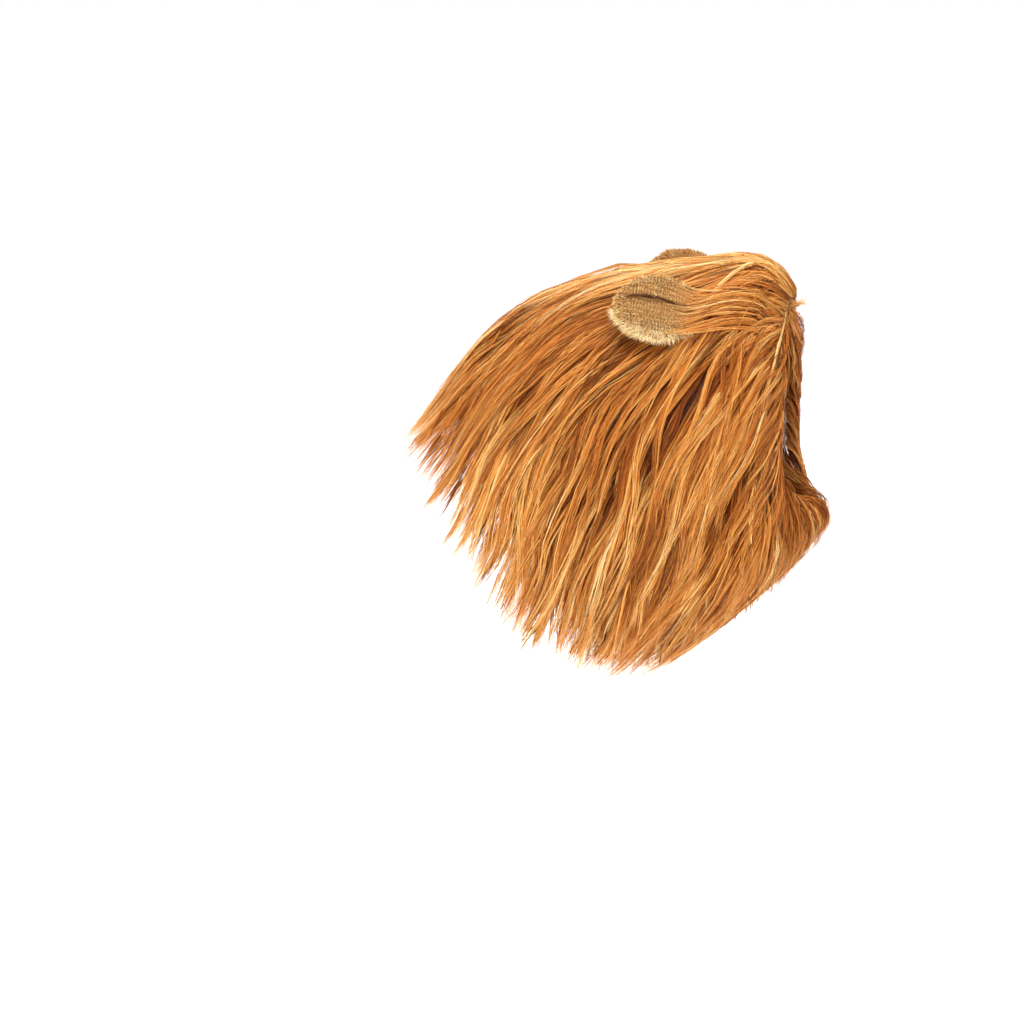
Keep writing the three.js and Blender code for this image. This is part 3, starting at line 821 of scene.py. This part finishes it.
def ear_entry(lines):
    """The share of each line after which it would run over an ear, or 2, and whether it starts on one."""
    right = lines[:, :1, :1] < 0
    far, x, height = by_ear(lines, np.where(right, MIRROR, 1), ~right)
    over = (far > 4 * MM) & (far < EAR_LENGTH) & (np.abs(x) < 0.42 * EAR_WIDTH) & (np.abs(height) < 40 * MM)
    return np.where(over.any(1), over.argmax(1) / (lines.shape[1] - 1), 2.0), over[:, 0]


# Materials


def node_of(tree, kind, inputs=(), **settings):
    """A node with its settings and inputs; an input that is a socket is linked."""
    node = tree.nodes.new("ShaderNode" + kind)
    for key, value in settings.items():
        setattr(node, key, value)
    for key, value in dict(inputs).items():
        if isinstance(value, bpy.types.NodeSocket):
            tree.links.new(value, node.inputs[key])
        else:
            node.inputs[key].default_value = value
    return node


def output(tree, key, *node, **settings):
    return node_of(tree, *node, **settings).outputs[key]


def make_material(name, look, **sockets):
    """A material with constants on its shader. look gives its colour and, where it has one, its normal."""
    material = bpy.data.materials.new(name)
    material.use_nodes = True
    tree = material.node_tree
    shader = tree.nodes["Principled BSDF"]
    for key, value in sockets.items():
        shader.inputs[key.replace("_", " ")].default_value = value
    for key, output in zip(("Base Color", "Normal"), look(tree)):
        tree.links.new(output, shader.inputs[key])
    return material


def ramp(tree, fac, stops):
    node = node_of(tree, "ValToRGB", {"Fac": fac})
    elements = node.color_ramp.elements
    while len(elements) < len(stops):
        elements.new(0.5)
    for element, (place, colour) in zip(elements, stops):
        element.position = place
        element.color = (*colour, 1)
    return node.outputs["Color"]


def linear(*stops):
    """Stops of a ramp with screen colours, 0 to 255, as linear light."""
    return [(place, [(c / 255 / 12.92) if c <= 10.31 else ((c / 255 + 0.055) / 1.055) ** 2.4 for c in colour])
            for place, *colour in stops]


def bumped(tree, height, distance, strength):
    return output(tree, "Normal", "Bump", {"Height": height, "Distance": distance, "Strength": strength})


def noise(tree, place, scale, detail=2.0):
    return output(tree, "Fac", "TexNoise", {"Vector": place, "Scale": scale, "Detail": detail})


def maths(tree, operation, *values):
    return output(tree, 0, "Math", enumerate(values), operation=operation)


def strand_look(tones, ends):
    """Shade across the strands from tones, and along each strand from its root to its tip from ends, which
    darken the roots as painted shade.
    """
    def look(tree):
        uv = output(tree, "UV", "UVMap", uv_map="OFBake")
        split = node_of(tree, "SeparateXYZ", {"Vector": uv})
        shade = ramp(tree, split.outputs["X"], linear(*tones))
        along = ramp(tree, split.outputs["Y"], ends)
        return [output(tree, "Result", "Mix", {"Factor": 1.0, "A": shade, "B": along},
                       data_type="RGBA", blend_type="MULTIPLY")]
    return look


def knit_look(tree):
    """Fine ribbed stretch knit."""
    uv = output(tree, "UV", "UVMap", uv_map="OFBake")
    place = output(tree, "Vector", "Mapping", {"Vector": uv, "Scale": (430, 330, 1)})
    rib, course = (
        output(tree, "Fac", "TexWave", {"Vector": place, "Scale": scale, "Distortion": distortion,
                                        "Detail": 1.0, "Detail Scale": 2.0},
               wave_type="BANDS", bands_direction=direction)
        for scale, distortion, direction in ((0.159, 0.6, "X"), (0.318, 0.8, "DIAGONAL")))
    height = maths(tree, "MULTIPLY", rib, course)
    # Painted shade: the knit's grooves are darker and its raised ribs lighter, with noise over them
    shade = maths(tree, "MULTIPLY_ADD", height, 0.7, 0.0)
    shade = maths(tree, "MULTIPLY_ADD", noise(tree, uv, 9.0, 4.0), 0.3, shade)
    colour = ramp(tree, shade, linear((0.0, 112, 62, 30), (0.5, 158, 98, 54), (1.0, 186, 126, 78)))
    return colour, bumped(tree, height, 0.3 * MM, 0.5)


def felt_look(dark, light, size):
    """Plain woven or felted cloth with small mottling."""
    def look(tree):
        grain = noise(tree, output(tree, "Object", "TexCoord"), 1 / size, 3.0)
        colour = ramp(tree, grain, linear((0.3, *dark), (0.7, *light)))
        return colour, bumped(tree, grain, 0.4 * MM, 0.6)
    return look


def underfur_look(tree):
    """Short dense fibres under the strands, painted dark as the shade deep in the fur."""
    place = output(tree, "Object", "TexCoord")
    place = output(tree, "Vector", "Mapping", {"Vector": place, "Scale": (900, 900, 90)})
    fibre = noise(tree, place, 1.0, 3.0)
    colour = ramp(tree, fibre, linear((0.3, 70, 30, 8), (0.7, 136, 72, 26)))
    return colour, bumped(tree, fibre, 1.5 * MM, 0.8)


def floor_look(tree):
    grain = noise(tree, output(tree, "Object", "TexCoord"), 3.0)
    return [ramp(tree, grain, [(0.0, (0.88, 0.88, 0.88)), (1.0, (0.92, 0.92, 0.92))])]


# Mane

# Each thing made of locks has its number of locks and of strands in a lock
EDGE_LOCKS, EDGE_EACH, EDGE_FORWARD = 560, 13, (5 * MM, 15 * MM)
TUFT_LOCKS, TUFT_EACH, TUFT_FOOT = 14, 14, np.array((-3, -60, -1)) * MM
QUIFF_LOCKS, QUIFF_EACH, QUIFF_CENTRE = 210, 14, np.array((0.0, -0.074, -0.05))
OVER_EAR_LOCKS, OVER_EAR_EACH = 34, 13
SKIRT_LOCKS, SKIRT_EACH = 620, 14
FINE, WHOLE = 0.62 * MM, 0.97
# Share of the locks that reach an ear and lie over its edge
LAID = 0.45
# The fur is painted palest along the ridge of the crown, as a painted highlight where the light falls on the
# top
RIDGE_HIGHLIGHT_WIDTH = 55 * MM
# Count, strands in a lock, length low and high, depth at root and tip, radius, width, all in mm, and shade.
# The deeper a layer lies, the darker its shade, as painted shade deep in the fur
LAYERS = (
    (560, 12, 140, 220, 20, 11, 10.0, 1.8, 0.08),
    (1250, 23, 170, 290, 14, 4.5, 7.0, 0.78, 0.38),
    (620, 20, 140, 250, 9, 1.5, 5.0, 0.62, 0.46),
)
# Name, count, strands in a lock, length low and high, radius, width, all in mm, and shade. The deep lines are
# darker than the hem, as painted shade inside the fur
HANGING = (("deep", 480, 16, 60, 120, 8.0, 1.2, 0.4), ("hem", 700, 18, 60, 150, 5.5, 0.75, 0.58))


def edge_strands():
    """Locks rooted all round the face hem, which bulge forward over it."""
    count = EDGE_LOCKS
    angle = np.sort(draw(0, 360, count))
    flow = draw(0.002, 0.04, count)
    brow = brow_share(on_fur(angle, flow)[:, POINT])
    swerve = vary(1, count) * (0.1 + 0.08 * brow)
    lines, normals, reach = trace(angle, flow, draw(60, 150, count) * MM, (1 * MM, 1 * MM), swerve)
    share = shares(lines.shape[1])
    bulge = draw(*EDGE_FORWARD, count)[:, None] * np.sin(math.pi * np.clip(share * 1.3, 0, 1)) ** 0.6
    lines[..., 1] -= bulge
    axis = hood_point(np.array((0.0, 180.0)), 0, 0).mean(0)
    lines += unit((axis - lines) * (1, 0, 1)) * (bulge * draw(0, 1, (count, 1)))[..., None]
    tone = 0.38 + 0.12 * brow + vary(1, count) * (0.15 - 0.1 * brow)
    size = draw(3, 6, count) * MM
    return locks(lines, normals, reach, tone, EDGE_EACH, size, FINE, True, 6, 0.18 * (1 - brow))


def quiff_strands():
    """Locks from the top of the face hem that are brushed up and back over the brow."""
    count = QUIFF_LOCKS
    angle = vary(24, count)
    flow = draw(0.01, 0.14, count)
    length = draw(80, 160, count) * MM
    depth = (1.5 * MM, draw(0.5, 5, count) * MM)
    swerve = 0.25 * ripple(on_fur(angle, flow)[:, POINT], 30 * MM, 8) + vary(0.12, count)
    lines, normals, reach = trace(angle, flow, length, depth, swerve, centre=QUIFF_CENTRE)
    # Painted highlight: the quiff is paler along the middle of the crown, where the light falls on the top
    crest_highlight = 0.3 * bell(lines[:, LINE_STEPS // 2, 0], 30 * MM)
    tone = 0.47 + crest_highlight + 0.1 * ripple(lines[:, 6], 20 * MM, 9) + vary(0.06, count)
    size = draw(3.5, 6.5, count) * MM
    return locks(lines, normals, reach, tone, QUIFF_EACH, size, FINE, True, dark=0.0)


def tuft_strands():
    """A small tuft that stands up at the front of the brow."""
    count = TUFT_LOCKS
    foot = TUFT_FOOT + vary(1, (count, 3)) * (5 * MM, 4 * MM, 1 * MM)
    ahead = draw(16, 30, count) * MM
    rise = ahead * draw(0.35, 0.9, count)
    spread = vary(4, count) * MM
    share = shares(12)[None]
    lines = foot[:, None] + np.stack([spread[:, None] * share, -ahead[:, None] * share ** 0.9,
                                      rise[:, None] * share ** 2.2 - 3 * MM * np.sin(math.pi * share)], -1)
    normals = np.broadcast_to((0.0, -0.3, 0.95), lines.shape)
    return locks(lines, normals, WHOLE, 0.84 + vary(0.08, count), TUFT_EACH, 3.5 * MM, 0.55 * MM, False, 6)


def over_ear_strands(rise):
    """Locks from ahead of the left ear that lie over its sewn end. rise is how far the ear is lifted."""
    count = OVER_EAR_LOCKS
    place = np.linspace(-0.95, 0.95, count) + vary(0.05, count)
    angle, along = EAR_SPOT
    turn = angle - 9 * place + vary(1.5, count)
    flow = flow_over(along) - draw(0.12, 0.24, count)
    stops = []
    for t, raised in ((0, -2), (0.35, 1), (0.75, 4)):
        at = on_fur(turn, lerp(flow, flow_over(along), t))
        stops.append(at[:, POINT] + unit(at[:, NORMAL]) * raised * MM)
    for reach, raised in ((np.full(count, 0.4), 4.5), (draw(0.5, 0.64, count) - 0.05 * place ** 2, 2.5)):
        x = place * 0.9
        surface = ear_surface(reach, x, True, crease_lift(reach, x) + EAR_FACE_PROUD)
        stops.append(surface + ear_at(EAR_OUT, reach) * raised * MM + rise)
    lines = smooth(np.array(stops), shares(14)).transpose(1, 0, 2)
    normals = np.broadcast_to(unit(ear_at(EAR_OUT, np.array(0.4))), lines.shape)
    tone = 0.45 + vary(0.1, count)
    return locks(lines, normals, WHOLE, tone, OVER_EAR_EACH, draw(3, 5, count) * MM, FINE, False, 6)


def layer_strands(count, each, low, high, root, tip, radius, width, shade):
    """One layer of locks over the whole hood, by the names of the pieces they go to."""
    angle, flow = seed_places(count)
    length = draw(low, high, count) * MM
    start = on_fur(angle, flow)[:, POINT]
    streak = streaks(start, 0.06, 21)
    deep = (vary(1.7, count) - 6 * streak - 3.2 * streaks(start, 0.025, 22)) * MM
    brow = brow_share(start)
    swerve = 0.16 * ripple(start, 60 * MM, 3) + vary(1, count) * (0.06 + 0.16 * brow)
    depth = (root * MM, np.maximum(tip * MM + deep, 0.2 * MM))
    lines, normals, reach = trace(angle, flow, length, depth, swerve)
    tone = 0.06 * ripple(start, 45 * MM, 11) + 0.14 * streak + vary(0.08, count)
    tone = shade + np.maximum(tone, -0.12 - 0.2 * (1 - brow))
    x, _, z = lines[:, LINE_STEPS // 2].T
    # Painted highlight: paler along the ridge of the crown, and the upper fur beside the ridge a little
    # darker
    ridge_highlight = bell(x, RIDGE_HIGHLIGHT_WIDTH, 4) * ease(z, -20 * MM, 25 * MM)
    tone = tone + 0.46 * ridge_highlight * (1 - 0.4 * brow) - 0.06 * brow
    tone = tone - 0.07 * ease(z, -30 * MM, 10 * MM) * (1 - ridge_highlight)
    tone = tone + 0.05 * ease(-z, 80 * MM, 220 * MM) - 0.02
    entry, inside = ear_entry(lines)
    laid = (entry < 1) & ~inside & (draw(0, 1, count) < LAID)
    reach = np.where(laid, np.minimum(reach, entry + draw(0.05, 0.17, count)), reach)
    size = radius * MM * draw(0.7, 1.35, count)
    turn = np.abs(np.mod(angle + 180, 360) - 180)
    left = np.mod(angle, 360) < 180
    place = np.select([turn < 40, turn < 85, turn < 130], [0, 1, 2], 3)
    for k, part in enumerate(("top", "upper", "lower", "beard")):
        for hand, chosen in (("left", left), ("right", ~left)):
            own = np.flatnonzero((place == k) & chosen)
            strips = locks(lines[own], normals[own], reach[own], tone[own], each, size[own], width * MM,
                           ~laid[own], dark=0.2 * (1 - brow[own]))
            yield f"mane_{part}_{hand}", strips


def make_mane(material):
    """Locks in layers over the whole hood, and those at its edges, in pieces by where they start."""
    pieces = {}
    for layer in LAYERS:
        for name, part in layer_strands(*layer):
            pieces.setdefault(name, []).append(part)
    pieces["mane_face_edge"] = [edge_strands(), quiff_strands(), tuft_strands()]
    pieces["mane_over_ears"] = [over_ear_strands(LEFT_EAR_RISE), mirrored(over_ear_strands(0))]
    for part, count, each, low, high, radius, width, shade in HANGING:
        lines, normals = hanging_lines(count, low * MM, high * MM)
        tone = shade + vary(0.09, len(lines))
        size = radius * MM * draw(0.7, 1.3, len(lines))
        pieces[f"mane_hanging_{part}"] = [
            locks(lines, normals, WHOLE, tone, each, size, width * MM, False, 5, bright_root=0.4)]
    lines, normals = skirt_lines(SKIRT_LOCKS)
    tone = 0.36 + vary(0.1, SKIRT_LOCKS)
    size = draw(5, 9, SKIRT_LOCKS) * MM
    pieces["mane_skirt_inside"] = [locks(lines, normals, WHOLE, tone, SKIRT_EACH, size, 0.95 * MM, False, 5)]
    return [strand_mesh(name, parts, material, "long_fur") for name, parts in pieces.items()]


UNDER_SINK, UNDER_HANG, UNDER_END = 17 * MM, 20 * MM, 0.85
UNDER_AROUND, UNDER_ALONG = 96, 37


def make_underfur(material):
    """The dense fur under the strands, clear of the hood, and the inside of the skirt behind the neck."""
    angle, flow = np.meshgrid(np.linspace(0, 360, UNDER_AROUND + 1)[:-1],
                              np.linspace(0, UNDER_END, UNDER_ALONG), indexing="ij")
    at = on_fur(angle, flow)
    normal = unit(at[..., NORMAL])
    hang = ease(-normal[..., 2:3], 0.15, 0.8) * UNDER_HANG
    rim = ease(flow, 0.6, 0.85)[..., None] * UNDER_HANG
    start = lerp(0.4, 1, ease(flow, 0, 0.2))[..., None]
    sink = np.minimum((UNDER_SINK + np.maximum(hang, rim)) * start, at[..., DEPTH, None] * 0.85)
    ring = np.concatenate([at[..., INNER], (at[..., POINT] - normal * sink)[:, ::-1]], 1)
    return grid_mesh("mane_underfur", ring, material, "long_fur")


def grid_mesh(name, points, material, slot, close_u=True):
    """A smooth mesh over a grid of points, joined up round v and, if asked, round u."""
    nu, nv = points.shape[:2]
    i, j = np.meshgrid(np.arange(nu if close_u else nu - 1), np.arange(nv), indexing="ij")
    i2, j2 = (i + 1) % nu, (j + 1) % nv
    quads = np.stack([i * nv + j, i2 * nv + j, i2 * nv + j2, i * nv + j2], -1).reshape(-1, 4)
    mesh = bpy.data.meshes.new(name)
    mesh.from_pydata(points.reshape(-1, 3).tolist(), [], quads.tolist())
    return finish_mesh(mesh, material, slot)


# Hood

# Running stitches: their length, the gap between them, the sides and radius of their thread, and how far the
# points of a stitch rise, in thread radii
STITCH, STITCH_GAP, STITCH_SIDES, THREAD = 5 * MM, 2 * MM, 5, 0.45 * MM
STITCH_RISE = (-0.5, 0.5, 0.75, 0.5, -0.5)
SEAM = 7.5 * MM
HOOD_AROUND, HOOD_ALONG, CLOTH_RIPPLE, CLOTH_CLEAR, FOLD = 120, 40, 0.5 * MM, 0.2 * MM, 1.2 * MM


def make_hood(material, thread):
    """The hood's cloth, turned under at both ends, with a line of stitches along each hem."""
    angle = np.linspace(0, 360, HOOD_AROUND + 1)[:-1]
    place = (1 - np.cos(np.linspace(0, math.pi, HOOD_ALONG))) / 2
    angle, place = np.meshgrid(angle, place, indexing="ij")
    ripples = CLOTH_RIPPLE * np.sin(np.radians(angle) * 7 + 9 * place) * np.sin(math.pi * place)
    inner = hood_point(angle, place, ripples)
    outer = hood_point(angle, place, hood_thickness(place) - CLOTH_CLEAR)
    back = unit(inner[:, -1].mean(0) - inner[:, 0].mean(0))
    face, neck = ((0.5 * (inner[:, end] + outer[:, end]) + back * side * FOLD)[:, None]
                  for end, side in ((0, -1), (-1, 1)))
    ring = np.concatenate([face, outer, neck, inner[:, ::-1]], 1)
    hood = grid_mesh("hood_cloth", ring, material, "hood_cloth")
    nu, nv = ring.shape[:2]
    layer = hood.data.uv_layers.new(name="OFBake")
    i, j = np.meshgrid(np.arange(nu), np.arange(nv), indexing="ij")
    u = np.stack([i, i + 1, i + 1, i], -1) / nu
    v = np.stack([j, j, j + 1, j + 1], -1) / nv
    layer.data.foreach_set("uv", np.stack([u, v], -1).astype(np.float32).ravel())
    stitches = make_stitches(thread)
    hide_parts("hood_backing")
    return [hood, stitches]


def make_stitches(material):
    """Running stitches on the inside of both hems."""
    verts, faces = [], []
    points, sides = len(STITCH_RISE), STITCH_SIDES
    for place in (SEAM, HOOD_REACH + HOOD_DROP - SEAM):
        fine = hood_point(np.linspace(0, 360, 721), place / (HOOD_REACH + HOOD_DROP), 0)
        far = length_along(fine)
        for start in np.arange(0, far[-1] - STITCH, STITCH + STITCH_GAP):
            line = at_lengths(fine, far, np.linspace(start, start + STITCH, points))
            inward = unit(fine.mean(0) - line)
            line = line + inward * np.array(STITCH_RISE)[:, None] * THREAD
            out = inward[points // 2]
            side = unit(np.cross(unit(line[-1] - line[0]), out))
            base = len(verts)
            for p in line:
                for k in range(sides):
                    turn = 2 * math.pi * k / sides
                    verts.append(p + (side * math.cos(turn) + out * math.sin(turn)) * THREAD)
            for r in range(points - 1):
                for k in range(sides):
                    a, b = base + sides * r + k, base + sides * r + (k + 1) % sides
                    faces.append((a, b, b + sides, a + sides))
            last = base + sides * (points - 1)
            faces.append(tuple(base + k for k in reversed(range(sides))))
            faces.append(tuple(last + k for k in range(sides)))
    mesh = bpy.data.meshes.new("hood_stitches")
    mesh.from_pydata([tuple(v) for v in verts], [], faces)
    piece = finish_mesh(mesh, material, "hood_cloth")
    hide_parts("hood_backing")
    return piece


# Stage

FLOOR_SIZE, FLOOR_LOW = 80, -0.66
WHITE = (1, 1, 1, 1)
LIT = (0, 0.1, -0.1)
# Name, place, size and power
LAMPS = (
    ("key", (-1.0, -0.6, 2.4), 1.2, 75),
    ("fill", (-2.6, 0.6, 0.5), 1.6, 20),
    ("rim", (0.6, 1.4, 2.2), 1.2, 50),
)


def make_floor():
    bpy.ops.mesh.primitive_plane_add(size=FLOOR_SIZE, location=(0, 0, FLOOR_LOW))
    floor = bpy.context.object
    floor.name = "floor"
    floor.data.materials.append(make_material("floor", floor_look, Roughness=0.9, Emission_Color=WHITE,
                                              Emission_Strength=0.6))


def make_light():
    world = bpy.data.worlds.new("studio")
    bpy.context.scene.world = world
    world.use_nodes = True
    tree = world.node_tree
    tree.nodes.clear()
    seen, given = (output(tree, 0, "Background", {"Color": WHITE, "Strength": strength})
                   for strength in (1.0, 0.5))
    path = output(tree, "Is Camera Ray", "LightPath")
    mix = output(tree, 0, "MixShader", {0: path, 1: given, 2: seen})
    node_of(tree, "OutputWorld", {"Surface": mix})
    for name, place, size, power in LAMPS:
        data = bpy.data.lights.new(name, "AREA")
        data.shape, data.size, data.energy = "SQUARE", size, power
        lamp = add_object(name, data)
        lamp.location = place
        lamp.rotation_euler = (Vector(LIT) - Vector(place)).to_track_quat("-Z", "Y").to_euler()
    view = bpy.context.scene.view_settings
    view.view_transform = "Standard"
    view.look = "None"


# Factors along a strand from its root to its tip, which darken the roots as painted shade deep in the fur,
# and screen colours across the strands
PALE = (1.0, 1.0, 1.0)
FUR_ROOT_SHADE = [(0.0, (0.5, 0.43, 0.36)), (0.3, (0.86, 0.83, 0.8)), (0.8, PALE), (1.0, PALE)]
PILE_ROOT_SHADE = [(0.0, (0.55, 0.5, 0.45)), (0.5, (0.9, 0.9, 0.9)), (1.0, PALE)]
FUR_TONES = ((0.0, 98, 40, 8), (0.28, 186, 100, 34), (0.52, 228, 146, 62), (0.78, 251, 197, 112),
             (1.0, 255, 230, 170))
PLUSH_TONES = (0.0, 118, 66, 18), (0.35, 212, 148, 68), (0.7, 250, 214, 138), (1.0, 255, 242, 200)
PILE_TONES = (0.0, 64, 28, 2), (0.3, 172, 106, 34), (0.62, 240, 178, 88), (1.0, 255, 230, 160)


make_camera()
make_light()
make_floor()
long_fur = make_material("long_fur", strand_look(FUR_TONES, FUR_ROOT_SHADE), Roughness=0.5,
                         Specular_IOR_Level=0.35, Specular_Tint=(1.0, 0.76, 0.46, 1))
plush, pile = (
    make_material(name, strand_look(tones, PILE_ROOT_SHADE), Roughness=0.7, Specular_IOR_Level=0.25,
                  Sheen_Weight=0.3)
    for name, tones in (("ear_plush", PLUSH_TONES), ("ear_pile", PILE_TONES)))
under_fur = make_material("under_fur", underfur_look, Roughness=0.85)
ear_cloth, thread = (
    make_material(name, felt_look(dark, light, size), Roughness=0.9)
    for name, dark, light, size in (("ear_cloth", (120, 78, 34), (176, 124, 62), 2 * MM),
                                    ("thread", (150, 96, 50), (190, 132, 80), 1 * MM)))
knit = make_material("hood_knit", knit_look, Roughness=0.9, Sheen_Weight=0.3)
for piece in make_mane(long_fur) + [make_underfur(under_fur)]:
    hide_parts("mane_fur")
    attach(piece, "root")
ears = make_ears(plush, pile, ear_cloth)
for piece in ears + make_hood(knit, thread):
    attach(piece, "root")
